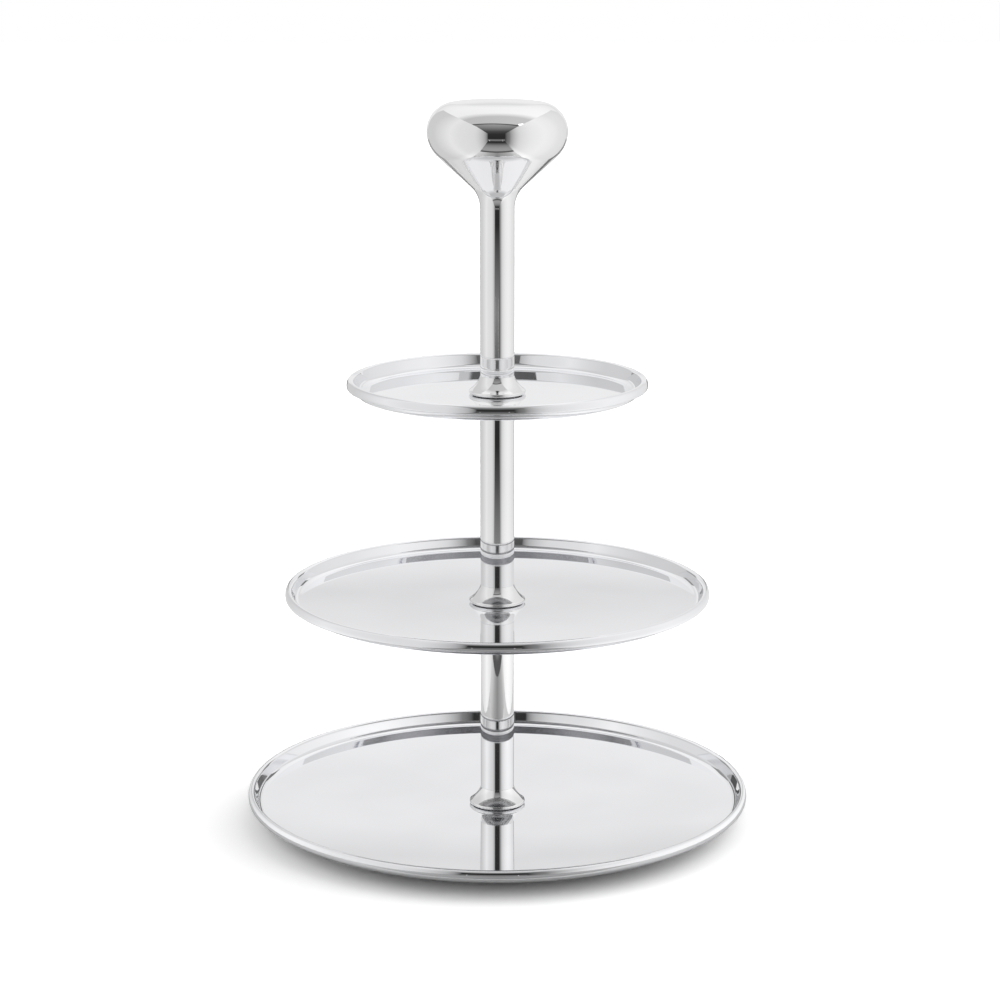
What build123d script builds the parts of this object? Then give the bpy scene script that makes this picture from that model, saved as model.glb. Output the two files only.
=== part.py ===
from build123d import *
from math import acos, asin, cos, degrees, radians, sin, tan
import os

# Three-tier cake stand: pressed trays on tube columns that screw into one another, with a knob on top.
# Millimetres, +Z up. The origin is on the table, under the middle of the stand.

os.makedirs("parts", exist_ok=True)

# Trays: outer diameter, and height of the rim's top above the middle of the tray's floor
BOTTOM_DIAMETER, BOTTOM_RIM = 270.0, 11.0
MIDDLE_DIAMETER, MIDDLE_RIM = 226.5, 9.0
TOP_DIAMETER, TOP_RIM = 158.5, 8.6
SHEET = 1.0
LAND_RADIUS = 18.0
DISH_RADIUS = 1800.0
COVE_RADIUS = 3.4
WALL_ANGLE = 74.0
TRAY_HOLE_RADIUS = 4.4

# The trays' rolled rim: round top, nearly upright outer face and the edge tucked in underneath.
# The face's angles are how far its ends look up and down.
ROLL_RADIUS = 1.8
FACE_RADIUS = 5.5
FACE_UP_ANGLE, FACE_DOWN_ANGLE = 22.0, 6.0
TUCK_RADIUS = 1.5
TUCK_ANGLE = 105.0

# Tiers: height of the bottom tray's floor above the table, and the step from floor to floor
BOTTOM_FLOOR = 4.8
TIER_STEP = 113.2

# Columns: tube, flared foot, threaded plug and stud
TUBE_RADIUS = 9.0
TUBE_WALL = 1.2
FOOT_RADIUS = 15.0
FOOT_HEIGHT = 9.5
FOOT_START_ANGLE = 18.0
FOOT_LIP = 1.1
FOOT_LIP_ANGLE = 45.0
SPIGOT_LENGTH = 12.0
SPIGOT_CHAMFER = 0.8
PLUG_LENGTH = 18.0
BOND_GAP = 0.02
STUD_RADIUS = 4.0
THREAD_GAP = 0.05
THREAD_ENGAGED = 12.0
STUD_CHAMFER = 1.0

# Soft seals between metal and metal
FOOT_SEAL_INNER, FOOT_SEAL_OUTER = 9.5, 13.0
FOOT_SEAL_THICKNESS = 1.0
FOOT_SEAL_PROUD = 0.3
SEAL_GROOVE_GAP = 0.3
TRAY_SEAL_THICKNESS = 1.0
TRAY_SEAL_OUTER, TRAY_SEAL_INNER = 8.6, 4.6

# Knob: a hollow pebble on a cone that runs down into the handle's tube
KNOB_RADIUS = 36.5
KNOB_EQUATOR = 368.8
KNOB_CONE_ANGLE = 47.5
KNOB_LOWER_ROUND = 18.0
KNOB_UPPER_ROUND = 14.8
KNOB_UPPER_ANGLE = 83.0
NECK_ROUND = 15.0
KNOB_WALL = 1.2
NECK_SLEEVE_BELOW, NECK_SLEEVE_ABOVE = 12.0, 5.0
NECK_SLEEVE_WALL = 1.5

# Underside of the bottom tray: screw, washer and pads
SCREW_HEAD_RADIUS = 10.0
SCREW_HEAD_HEIGHT = 2.4
SCREW_HEAD_ROUND = 1.6
SCREW_SOCKET_ACROSS = 5.0
SCREW_SOCKET_DEPTH = 1.6
SCREW_IN_SPIGOT = 6.0
WASHER_RADIUS, WASHER_THICKNESS = 9.6, 0.8
PAD_COUNT = 4
PAD_RADIUS = 7.0
PAD_CIRCLE = 98.0
PAD_START_ANGLE = 45.0
PAD_ROUND = 1.2
PAD_BLANK_MARGIN = 1.0

MIDDLE_FLOOR = BOTTOM_FLOOR + TIER_STEP
TOP_FLOOR = MIDDLE_FLOOR + TIER_STEP
TUBE_BORE = TUBE_RADIUS - TUBE_WALL


def section(height):
    """Upright half-plane through the axis: X is the radius, Y the height above `height`."""
    return Plane(origin=(0, 0, height), x_dir=(1, 0, 0), z_dir=(0, -1, 0))


def column_foot(floor):
    """Height of the underside of a foot that stands on a tray floor."""
    return floor + FOOT_SEAL_PROUD


def tube_bottom(floor):
    return column_foot(floor) + FOOT_HEIGHT


def tube_top(floor_above):
    """Top of the tube that carries the tray whose floor is at `floor_above`."""
    return floor_above - SHEET - TRAY_SEAL_THICKNESS


def save(piece, name):
    piece.part.label = name
    export_step(piece.part, f"parts/{name}.step")
    print(f"{name}: {piece.part.volume:.0f} mm3")


def make_tray(name, diameter, rim_top, floor):
    """Pressed dish: flat land, faintly dished floor, cove, leaning wall and a rim rolled outwards.

    The food side is drawn as one tangent line and given the sheet's thickness. The floor's arc ends
    where the cove can leave it and still meet the wall that is tangent to the rim's round top.
    """
    wall = radians(WALL_ANGLE)
    roll_r = diameter / 2 - FACE_RADIUS + (FACE_RADIUS - ROLL_RADIUS) * cos(radians(FACE_UP_ANGLE))
    wall_end_r = roll_r - ROLL_RADIUS * sin(wall)
    wall_end_z = rim_top - ROLL_RADIUS + ROLL_RADIUS * cos(wall)
    reach = (wall_end_r - LAND_RADIUS) * sin(wall) + (DISH_RADIUS - wall_end_z) * cos(wall) - COVE_RADIUS
    dish = wall - acos(reach / (DISH_RADIUS - COVE_RADIUS))
    with BuildPart() as tray:
        with BuildSketch(section(floor)):
            with BuildLine():
                land = Line((TRAY_HOLE_RADIUS, 0), (LAND_RADIUS, 0))
                floor_arc = JernArc(land @ 1, land % 1, DISH_RADIUS, degrees(dish))
                cove = JernArc(floor_arc @ 1, floor_arc % 1, COVE_RADIUS, WALL_ANGLE - degrees(dish))
                side = Line(cove @ 1, (wall_end_r, wall_end_z))
                roll = JernArc(side @ 1, side % 1, ROLL_RADIUS, FACE_UP_ANGLE - 90 - WALL_ANGLE)
                face = JernArc(roll @ 1, roll % 1, FACE_RADIUS, -FACE_UP_ANGLE - FACE_DOWN_ANGLE)
                JernArc(face @ 1, face % 1, TUCK_RADIUS, -TUCK_ANGLE)
                offset(amount=SHEET, side=Side.RIGHT)
            make_face()
        revolve(axis=Axis.Z)
    save(tray, name)


def make_foot(name, floor):
    """Turned foot: concave flare on a rounded lip, spigot for the tube, bore and seal groove."""
    lip_r = FOOT_RADIUS - FOOT_LIP
    chord_r = lip_r + FOOT_LIP * cos(radians(FOOT_LIP_ANGLE)) - TUBE_RADIUS
    chord_z = FOOT_HEIGHT - FOOT_LIP - FOOT_LIP * sin(radians(FOOT_LIP_ANGLE))
    start = (sin(radians(FOOT_START_ANGLE)), -cos(radians(FOOT_START_ANGLE)))
    with BuildPart() as foot:
        with BuildSketch(section(column_foot(floor))):
            with BuildLine():
                flare = TangentArc(
                    (TUBE_RADIUS, FOOT_HEIGHT),
                    (TUBE_RADIUS + chord_r, FOOT_HEIGHT - chord_z),
                    tangent=start,
                )
                lip = ThreePointArc(flare @ 1, (FOOT_RADIUS, FOOT_LIP), (lip_r, 0))
                spigot_top = FOOT_HEIGHT + SPIGOT_LENGTH
                Polyline(
                    lip @ 1,
                    (STUD_RADIUS + BOND_GAP, 0),
                    (STUD_RADIUS + BOND_GAP, spigot_top),
                    (TUBE_BORE - BOND_GAP - SPIGOT_CHAMFER, spigot_top),
                    (TUBE_BORE - BOND_GAP, spigot_top - SPIGOT_CHAMFER),
                    (TUBE_BORE - BOND_GAP, FOOT_HEIGHT),
                    flare @ 0,
                )
            make_face()
        revolve(axis=Axis.Z)
        with BuildSketch(Plane.XY.offset(column_foot(floor))):
            Circle(FOOT_SEAL_OUTER + SEAL_GROOVE_GAP)
            Circle(FOOT_SEAL_INNER - SEAL_GROOVE_GAP, mode=Mode.SUBTRACT)
        extrude(amount=FOOT_SEAL_THICKNESS - FOOT_SEAL_PROUD, mode=Mode.SUBTRACT)
    save(foot, name)


def make_ring(name, outer, inner, bottom, thickness):
    """Flat ring, such as a seal or a washer."""
    with BuildPart() as ring:
        with BuildSketch(Plane.XY.offset(bottom)):
            Circle(outer)
            Circle(inner, mode=Mode.SUBTRACT)
        extrude(amount=thickness)
    save(ring, name)


def make_tube(name, bottom, top):
    make_ring(name, TUBE_RADIUS, TUBE_BORE, bottom, top - bottom)


def make_plug(name, top):
    """Threaded plug, bonded flush into the upper end of a tube."""
    with BuildPart() as plug:
        with BuildSketch(Plane.XY.offset(top - PLUG_LENGTH)):
            Circle(TUBE_BORE - BOND_GAP)
            Circle(STUD_RADIUS + THREAD_GAP, mode=Mode.SUBTRACT)
        extrude(amount=PLUG_LENGTH)
        lower_rim = plug.edges().filter_by(GeomType.CIRCLE).group_by(Axis.Z)[0].sort_by(SortBy.RADIUS)[-1]
        chamfer(lower_rim, SPIGOT_CHAMFER)
    save(plug, name)


def make_stud(name, floor):
    """Stud bonded into a foot. It runs down through the tray into the plug of the column below."""
    top = tube_bottom(floor) + SPIGOT_LENGTH
    bottom = tube_top(floor) - THREAD_ENGAGED
    with BuildPart() as stud:
        with BuildSketch(Plane.XY.offset(bottom)):
            Circle(STUD_RADIUS)
        extrude(amount=top - bottom)
        chamfer(stud.edges().filter_by(GeomType.CIRCLE), STUD_CHAMFER)
    save(stud, name)


# The three trays
make_tray("bottom_tray", BOTTOM_DIAMETER, BOTTOM_RIM, BOTTOM_FLOOR)
make_tray("middle_tray", MIDDLE_DIAMETER, MIDDLE_RIM, MIDDLE_FLOOR)
make_tray("top_tray", TOP_DIAMETER, TOP_RIM, TOP_FLOOR)

# The knob's outline, from the tube up: neck, cone, lower round, equator, upper round and crown
cone = radians(KNOB_CONE_ANGLE)
cone_top_r = KNOB_RADIUS - KNOB_LOWER_ROUND * (1 - cos(cone))
cone_top_z = KNOB_EQUATOR - KNOB_LOWER_ROUND * sin(cone)
neck_end_r = TUBE_RADIUS + NECK_ROUND * (1 - cos(cone))
neck_end_z = cone_top_z - (cone_top_r - neck_end_r) / tan(cone)
NECK_BOTTOM = neck_end_z - NECK_ROUND * sin(cone)

# Columns: each stands with its foot on a tray and carries the next tray, or the knob, on its tube
columns = {
    "lower": (BOTTOM_FLOOR, tube_top(MIDDLE_FLOOR)),
    "middle": (MIDDLE_FLOOR, tube_top(TOP_FLOOR)),
    "handle": (TOP_FLOOR, NECK_BOTTOM),
}
for column, (floor, top) in columns.items():
    make_foot(f"{column}_foot", floor)
    make_ring(f"{column}_foot_seal", FOOT_SEAL_OUTER, FOOT_SEAL_INNER, floor, FOOT_SEAL_THICKNESS)
    make_tube(f"{column}_tube", tube_bottom(floor), top)
    if column != "handle":
        make_plug(f"{column}_plug", top)
    if column != "lower":
        make_stud(f"{column}_stud", floor)

# Seals between a tube's upper end and the tray that it carries
make_ring("middle_tray_seal", TRAY_SEAL_OUTER, TRAY_SEAL_INNER, tube_top(MIDDLE_FLOOR), TRAY_SEAL_THICKNESS)
make_ring("top_tray_seal", TRAY_SEAL_OUTER, TRAY_SEAL_INNER, tube_top(TOP_FLOOR), TRAY_SEAL_THICKNESS)

# Lower shell of the knob, with the neck that is welded to the handle's tube
with BuildPart() as knob_bowl:
    with BuildSketch(section(0)):
        with BuildLine():
            neck = JernArc((TUBE_RADIUS, NECK_BOTTOM), (0, 1), NECK_ROUND, -KNOB_CONE_ANGLE)
            flank = Line(neck @ 1, (cone_top_r, cone_top_z))
            JernArc(flank @ 1, flank % 1, KNOB_LOWER_ROUND, KNOB_CONE_ANGLE)
            offset(amount=KNOB_WALL, side=Side.LEFT)
        make_face()
    revolve(axis=Axis.Z)
save(knob_bowl, "knob_bowl")

# Upper shell of the knob: a full shoulder that runs out into a low crown
shoulder_r = KNOB_RADIUS - KNOB_UPPER_ROUND * (1 - cos(radians(KNOB_UPPER_ANGLE)))
CROWN_RADIUS = shoulder_r / cos(radians(KNOB_UPPER_ANGLE))
with BuildPart() as knob_cap:
    with BuildSketch(section(0)):
        with BuildLine():
            shoulder = JernArc((KNOB_RADIUS, KNOB_EQUATOR), (0, 1), KNOB_UPPER_ROUND, KNOB_UPPER_ANGLE)
            JernArc(shoulder @ 1, shoulder % 1, CROWN_RADIUS, 90 - KNOB_UPPER_ANGLE)
            offset(amount=KNOB_WALL, side=Side.LEFT)
        make_face()
    revolve(axis=Axis.Z)
save(knob_cap, "knob_cap")

# Sleeve inside the weld between the handle's tube and the knob's neck
make_ring(
    "neck_sleeve",
    TUBE_BORE - BOND_GAP,
    TUBE_BORE - BOND_GAP - NECK_SLEEVE_WALL,
    NECK_BOTTOM - NECK_SLEEVE_BELOW,
    NECK_SLEEVE_BELOW + NECK_SLEEVE_ABOVE,
)

# Screw that holds the bottom tray and the lower column together from below, and its soft washer
tray_underside = BOTTOM_FLOOR - SHEET
head_top = tray_underside - WASHER_THICKNESS
head_bottom = head_top - SCREW_HEAD_HEIGHT
make_ring("base_washer", WASHER_RADIUS, TRAY_SEAL_INNER, head_top, WASHER_THICKNESS)

with BuildPart() as base_screw:
    with BuildSketch(Plane.XY.offset(head_bottom)):
        Circle(SCREW_HEAD_RADIUS)
    extrude(amount=SCREW_HEAD_HEIGHT)
    head_rim = base_screw.edges().group_by(Axis.Z)[0]
    fillet(head_rim, SCREW_HEAD_ROUND)
    with BuildSketch(Plane.XY.offset(head_top)):
        Circle(STUD_RADIUS)
    extrude(amount=tube_bottom(BOTTOM_FLOOR) + SCREW_IN_SPIGOT - head_top)
    chamfer(base_screw.edges().group_by(Axis.Z)[-1], STUD_CHAMFER)
    with BuildSketch(Plane.XY.offset(head_bottom)):
        RegularPolygon(SCREW_SOCKET_ACROSS / 2, 6, major_radius=False)
    extrude(amount=SCREW_SOCKET_DEPTH, mode=Mode.SUBTRACT)
save(base_screw, "base_screw")

# Pads under the bottom tray: their tops follow the underside of the dished floor
dish_under = DISH_RADIUS + SHEET
with BuildPart() as base_pads:
    with BuildSketch(section(0)):
        with BuildLine():
            inner = PAD_CIRCLE - PAD_RADIUS - PAD_BLANK_MARGIN
            outer = PAD_CIRCLE + PAD_RADIUS + PAD_BLANK_MARGIN
            rise = [
                tray_underside + dish_under * (1 - cos(asin((r - LAND_RADIUS) / dish_under)))
                for r in (inner, PAD_CIRCLE, outer)
            ]
            top_edge = ThreePointArc((inner, rise[0]), (PAD_CIRCLE, rise[1]), (outer, rise[2]))
            Polyline(top_edge @ 1, (outer, 0), (inner, 0), top_edge @ 0)
        make_face()
    revolve(axis=Axis.Z)
    with BuildSketch():
        with PolarLocations(PAD_CIRCLE, PAD_COUNT, start_angle=PAD_START_ANGLE):
            Circle(PAD_RADIUS)
    extrude(amount=BOTTOM_FLOOR + BOTTOM_RIM, mode=Mode.INTERSECT)
    fillet(base_pads.edges().group_by(Axis.Z)[0], PAD_ROUND)
save(base_pads, "base_pads")
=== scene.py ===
# %% [markdown]
# # A mirror-polished cake stand
# The stand is turned and pressed steel: every piece is round about one upright axis. This lesson dresses
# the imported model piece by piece, then builds the white studio that the polish reflects.
# The frame comes first. Everything else takes its place from it.

# %% Load the frame
from math import acos, asin, atan2, ceil, cos, degrees, hypot, pi, radians, sin

import bmesh
import bpy
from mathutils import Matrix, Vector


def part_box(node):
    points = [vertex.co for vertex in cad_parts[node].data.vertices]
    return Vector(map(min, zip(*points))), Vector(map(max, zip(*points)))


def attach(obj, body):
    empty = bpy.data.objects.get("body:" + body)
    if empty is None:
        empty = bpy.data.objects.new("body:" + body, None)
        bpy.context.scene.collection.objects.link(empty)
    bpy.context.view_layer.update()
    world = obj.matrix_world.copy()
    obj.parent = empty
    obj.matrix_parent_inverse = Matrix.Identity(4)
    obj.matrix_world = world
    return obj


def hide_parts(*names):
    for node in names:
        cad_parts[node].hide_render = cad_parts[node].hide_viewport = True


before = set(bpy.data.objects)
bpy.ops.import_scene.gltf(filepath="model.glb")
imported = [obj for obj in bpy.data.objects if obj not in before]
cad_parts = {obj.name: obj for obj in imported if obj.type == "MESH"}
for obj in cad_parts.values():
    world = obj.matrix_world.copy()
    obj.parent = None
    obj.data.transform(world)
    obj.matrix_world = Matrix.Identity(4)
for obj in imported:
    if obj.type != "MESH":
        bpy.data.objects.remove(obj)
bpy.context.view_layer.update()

MM = 0.001

# %% [markdown]
# ## Camera
# The photograph looks down a little at the stand through a long lens, from about ten tray radii away.
# The three rims are circles of known size, so the shapes of their ellipses fix the distance, the height
# and the lens. A small shift puts the column a few pixels left of the middle, as it is in the photograph.

# %% Place the camera
CAMERA_DISTANCE = 1.4012
CAMERA_HEIGHT = 0.4962
CAMERA_PITCH = 12.957
FOCAL_PIXELS = 2707.8
FRAME_PIXELS = 1000
AXIS_PIXEL = 497.3
SENSOR_WIDTH = 36.0

bpy.ops.object.select_all(action="DESELECT")
bpy.ops.object.camera_add(
    location=(0, -CAMERA_DISTANCE, CAMERA_HEIGHT), rotation=(radians(90 - CAMERA_PITCH), 0, 0)
)
camera = bpy.context.object
camera.data.sensor_width = SENSOR_WIDTH
camera.data.lens = FOCAL_PIXELS / FRAME_PIXELS * SENSOR_WIDTH
camera.data.shift_x = (FRAME_PIXELS / 2 - AXIS_PIXEL) / FRAME_PIXELS
camera.data.clip_end = 50
bpy.context.scene.camera = camera
print(f"lens {camera.data.lens:.1f} mm, shift {camera.data.shift_x:.4f}")

# %% [markdown]
# ## Shader maths as plain expressions
# A finish is easier to read as arithmetic than as a list of links. `Wire` wraps one socket, and its
# operators add Math nodes. `Shading.node` adds any other node: its settings go in first, then its inputs.


# %% Helpers for materials
class Wire:
    """A value on its way through a node tree."""

    def __init__(self, shading, socket):
        self.shading = shading
        self.socket = socket

    def math(self, operation, first, second):
        return self.shading.node("ShaderNodeMath", {"operation": operation}, {0: first, 1: second})

    def __add__(self, other):
        return self.math("ADD", self, other)

    __radd__ = __add__

    def __sub__(self, other):
        return self.math("SUBTRACT", self, other)

    def __rsub__(self, other):
        return self.math("SUBTRACT", other, self)

    def __mul__(self, other):
        return self.math("MULTIPLY", self, other)

    __rmul__ = __mul__

    def __truediv__(self, other):
        return self.math("DIVIDE", self, other)


class Shading:
    """Adds nodes to one tree and returns their outputs as wires."""

    def __init__(self, tree):
        self.tree = tree
        tree.nodes.clear()

    def node(self, kind, settings=None, inputs=None, output=0):
        made = self.tree.nodes.new(kind)
        for name, value in (settings or {}).items():
            if name == "stops":
                self.set_stops(made.color_ramp, value)
            else:
                setattr(made, name, value)
        for key, value in (inputs or {}).items():
            if isinstance(value, Wire):
                self.tree.links.new(value.socket, made.inputs[key])
            else:
                made.inputs[key].default_value = value
        return Wire(self, made.outputs[output]) if made.outputs else made

    def set_stops(self, ramp, stops):
        while len(ramp.elements) < len(stops):
            ramp.elements.new(0.5)
        for element, (place, level) in zip(ramp.elements, stops):
            element.position = place
            element.color = (level, level, level, 1)

    def xyz(self, vector):
        """The three parts of a vector."""
        return [self.node("ShaderNodeSeparateXYZ", None, {0: vector}, axis) for axis in range(3)]

    def smooth_step(self, value, low, high):
        """0 below low, 1 above high, eased in between."""
        return self.node(
            "ShaderNodeMapRange",
            {"interpolation_type": "SMOOTHSTEP"},
            {"Value": value, "From Min": low, "From Max": high},
        )


def new_finish(name):
    finish = bpy.data.materials.new(name)
    finish.use_nodes = True
    return finish, Shading(finish.node_tree)


print("shader helpers ready")

# %% [markdown]
# ## Polished steel
# Mirror-polished stainless steel is never perfectly even. The buffing wheel leaves hair-fine rings round
# the axis, handling leaves faint smears, and a pressed sheet keeps a slow waviness that bends reflections.
# One function makes the finish. Trays get more waviness than tubes, because thin sheet moves more, and
# their colour is a trace cooler and less even. Nobody buffs the underside of a tray: it stays satin, and its
# colour is made about half as bright, which is painted shade.

# %% Make the steel finishes
TRAY_BRIGHT, TRAY_DULL = (0.935, 0.938, 0.954, 1), (0.895, 0.898, 0.913, 1)
COLUMN_BRIGHT, COLUMN_DULL = (0.925, 0.925, 0.925, 1), (0.905, 0.905, 0.905, 1)
# The underside colours are about half the tray's: painted shade on the faces that look down.
UNDER_SHADE_BRIGHT, UNDER_SHADE_DULL = (0.49, 0.49, 0.495, 1), (0.43, 0.43, 0.435, 1)
TURNED_BRIGHT, TURNED_DULL = (0.57, 0.57, 0.565, 1), (0.54, 0.54, 0.535, 1)
SMEAR_SCALE, CLOUD_SCALE = 38.0, 16.0
SMEAR_FROM, SMEAR_FULL = 0.48, 0.72
CLOUD_FROM, CLOUD_FULL = 0.3, 0.7
RING_ROUGHENING = 0.4


def steel_finish(name, bright, dull, polish, smear, ring_pitch, ring_depth, wave_pitch, wave_depth):
    """Metal with buffing rings every ring_pitch, smears of extra roughness and waves of wave_pitch."""
    finish, shading = new_finish(name)
    place = shading.node("ShaderNodeTexCoord", None, None, "Object")
    x, y, z = shading.xyz(place)
    radius = shading.node("ShaderNodeMath", {"operation": "SQRT"}, {0: x * x + y * y})
    ring_place = shading.node("ShaderNodeCombineXYZ", None, {"X": radius / ring_pitch, "Z": z / ring_pitch})
    rings = shading.node(
        "ShaderNodeTexNoise", None, {"Vector": ring_place, "Scale": 1.0, "Detail": 3.0, "Roughness": 0.7}
    )
    smears = shading.node(
        "ShaderNodeTexNoise", None, {"Vector": place, "Scale": SMEAR_SCALE, "Detail": 6.0, "Distortion": 0.8}
    )
    smear_mask = shading.smooth_step(smears, SMEAR_FROM, SMEAR_FULL)
    waves = shading.node(
        "ShaderNodeTexNoise", None, {"Vector": place, "Scale": 1 / wave_pitch, "Detail": 1.0}
    )
    clouds = shading.node("ShaderNodeTexNoise", None, {"Vector": place, "Scale": CLOUD_SCALE, "Detail": 2.0})
    colour = shading.node(
        "ShaderNodeMix",
        {"data_type": "RGBA"},
        {"Factor": shading.smooth_step(clouds, CLOUD_FROM, CLOUD_FULL), 6: bright, 7: dull},
        output=2,
    )
    height = rings * ring_depth + waves * wave_depth
    bump = shading.node("ShaderNodeBump", None, {"Strength": 1.0, "Distance": 1.0, "Height": height})
    shader = shading.node(
        "ShaderNodeBsdfPrincipled",
        None,
        {
            "Base Color": colour,
            "Metallic": 1.0,
            "Roughness": polish + rings * (polish * RING_ROUGHENING) + smear_mask * smear,
            "Normal": bump,
        },
    )
    shading.node("ShaderNodeOutputMaterial", None, {"Surface": shader})
    return finish


SHEET_WAVES = {"wave_pitch": 55 * MM, "wave_depth": 6.0e-6}
tray_steel = steel_finish(
    "tray_steel",
    TRAY_BRIGHT,
    TRAY_DULL,
    polish=0.022,
    smear=0.018,
    ring_pitch=0.35 * MM,
    ring_depth=1.2e-7,
    **SHEET_WAVES,
)
satin_and_shaded_under_steel = steel_finish(
    "satin_and_shaded_under_steel",
    UNDER_SHADE_BRIGHT,
    UNDER_SHADE_DULL,
    polish=0.16,
    smear=0.08,
    ring_pitch=0.35 * MM,
    ring_depth=4.0e-7,
    **SHEET_WAVES,
)
column_steel = steel_finish(
    "column_steel",
    COLUMN_BRIGHT,
    COLUMN_DULL,
    polish=0.020,
    smear=0.015,
    ring_pitch=0.30 * MM,
    ring_depth=1.0e-7,
    wave_pitch=40 * MM,
    wave_depth=2.0e-6,
)
turned_steel = steel_finish(
    "turned_steel",
    TURNED_BRIGHT,
    TURNED_DULL,
    polish=0.22,
    smear=0.06,
    ring_pitch=0.25 * MM,
    ring_depth=1.5e-6,
    wave_pitch=30 * MM,
    wave_depth=1.0e-6,
)
print("finishes:", tray_steel.name, satin_and_shaded_under_steel.name, column_steel.name, turned_steel.name)

# %% [markdown]
# ## Silicone
# The seals and pads are pale moulded silicone. It is smooth but not glossy, and it picks up dust. Little
# of it shows, so a soft mottle in colour and roughness and a fine grain are enough.

# %% Make the silicone finish
SEAL_PALE, SEAL_DUSTY = (0.74, 0.75, 0.76, 1), (0.62, 0.62, 0.62, 1)
PAD_PALE, PAD_DUSTY = (0.80, 0.81, 0.82, 1), (0.66, 0.66, 0.65, 1)
MOTTLE_SCALE, GRAIN_SCALE = 160.0, 2400.0
GRAIN_DEPTH = 0.03 * MM
CLEAN_ROUGHNESS, DUST_ROUGHNESS = 0.45, 0.25


def silicone_finish(name, pale, dusty):
    """Matt silicone, mottled between a pale and a dusty colour, with the mould's fine grain."""
    finish, shading = new_finish(name)
    place = shading.node("ShaderNodeTexCoord", None, None, "Object")
    mottle = shading.node(
        "ShaderNodeTexNoise", None, {"Vector": place, "Scale": MOTTLE_SCALE, "Detail": 5.0}
    )
    grain = shading.node("ShaderNodeTexNoise", None, {"Vector": place, "Scale": GRAIN_SCALE, "Detail": 2.0})
    colour = shading.node(
        "ShaderNodeMix", {"data_type": "RGBA"}, {"Factor": mottle, 6: pale, 7: dusty}, output=2
    )
    bump = shading.node("ShaderNodeBump", None, {"Strength": 0.4, "Distance": GRAIN_DEPTH, "Height": grain})
    shader = shading.node(
        "ShaderNodeBsdfPrincipled",
        None,
        {"Base Color": colour, "Roughness": CLEAN_ROUGHNESS + mottle * DUST_ROUGHNESS, "Normal": bump},
    )
    shading.node("ShaderNodeOutputMaterial", None, {"Surface": shader})
    return finish


seal_silicone = silicone_finish("seal_silicone", SEAL_PALE, SEAL_DUSTY)
pad_silicone = silicone_finish("pad_silicone", PAD_PALE, PAD_DUSTY)
print("finishes:", seal_silicone.name, pad_silicone.name)

# %% [markdown]
# ## Turning a piece on the lathe
# A round piece needs only its section: half of the shape that a saw cut through the axis would show.
# One vertex is left of a plane, extruded point by point round the section, closed, and spun about Z.
# A revolve gives even rings, which a mirror finish needs: a dent of a hundredth of a millimetre shows.

# %% Lathe helpers
LATHE_STEPS = 256
SMOOTH_ANGLE = 24.0
SAME_POINT = 0.0001 * MM
SEAM_GAP = 0.001 * MM


def arc(centre, radius, start, end, step):
    """Points on an arc from angle start to angle end, in degrees, about one every `step` degrees."""
    count = max(2, int(abs(end - start) / step) + 1)
    angles = [radians(start + (end - start) * i / count) for i in range(count + 1)]
    return [(centre[0] + radius * cos(a), centre[1] + radius * sin(a)) for a in angles]


def without_repeats(points):
    """The points of an outline, without those that lie on the point before them."""
    kept = [points[0]]
    for point in points[1:]:
        if hypot(point[0] - kept[-1][0], point[1] - kept[-1][1]) > SAME_POINT:
            kept.append(point)
    return kept


def draw_section(name, section):
    """Extrudes one vertex along the (radius, height) points of a section, in the XZ plane."""
    bpy.ops.object.select_all(action="DESELECT")
    bpy.ops.mesh.primitive_plane_add(size=MM)
    piece = bpy.context.object
    piece.name = name
    piece.data.name = name
    bpy.ops.object.mode_set(mode="EDIT")
    bpy.ops.mesh.select_all(action="SELECT")
    bpy.ops.mesh.merge(type="CENTER")
    bpy.ops.transform.translate(value=(section[0][0], 0, section[0][1]))
    for (r0, z0), (r1, z1) in zip(section, section[1:]):
        bpy.ops.mesh.extrude_vertices_move(TRANSFORM_OT_translate={"value": (r1 - r0, 0, z1 - z0)})
    return piece


def close_section(piece):
    """Joins the two loose ends of a drawn section with an edge."""
    mesh = bmesh.from_edit_mesh(piece.data)
    for vertex in mesh.verts:
        vertex.select = len(vertex.link_edges) == 1
    mesh.select_flush_mode()
    bmesh.update_edit_mesh(piece.data)
    bpy.ops.mesh.edge_face_add()


def lathe(name, section, closed=True, steps=LATHE_STEPS):
    """Spins a section about the Z axis into a closed, smooth piece."""
    piece = draw_section(name, without_repeats(section))
    if closed:
        close_section(piece)
    bpy.ops.mesh.select_all(action="SELECT")
    bpy.ops.mesh.spin(steps=steps, angle=2 * pi, center=(0, 0, 0), axis=(0, 0, 1))
    bpy.ops.mesh.select_all(action="SELECT")
    bpy.ops.mesh.remove_doubles(threshold=SEAM_GAP)
    bpy.ops.mesh.normals_make_consistent(inside=False)
    bpy.ops.object.mode_set(mode="OBJECT")
    bpy.ops.object.shade_smooth_by_angle(angle=radians(SMOOTH_ANGLE))
    return piece


def dress(piece, body, node_names, finish):
    """Gives a piece its finish, and says which body carries it and which nodes it stands for."""
    piece.data.materials.clear()
    piece.data.materials.append(finish)
    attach(piece, body)
    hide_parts(*node_names)
    print(f"{piece.name}: {len(piece.data.polygons)} faces")


print("lathe ready,", LATHE_STEPS, "steps a turn")

# %% [markdown]
# ## The trays
# Each tray is one pressed sheet: a flat land where the foot stands, a floor that dips by a hair, a tight
# cove, a wall, and a rim rolled outwards. The rim's outer face is nearly upright, and that is why it
# carries a dark band and not just a thin line. The outline runs along the food side, over the roll and
# back along the underside, one sheet thickness away.

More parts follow.
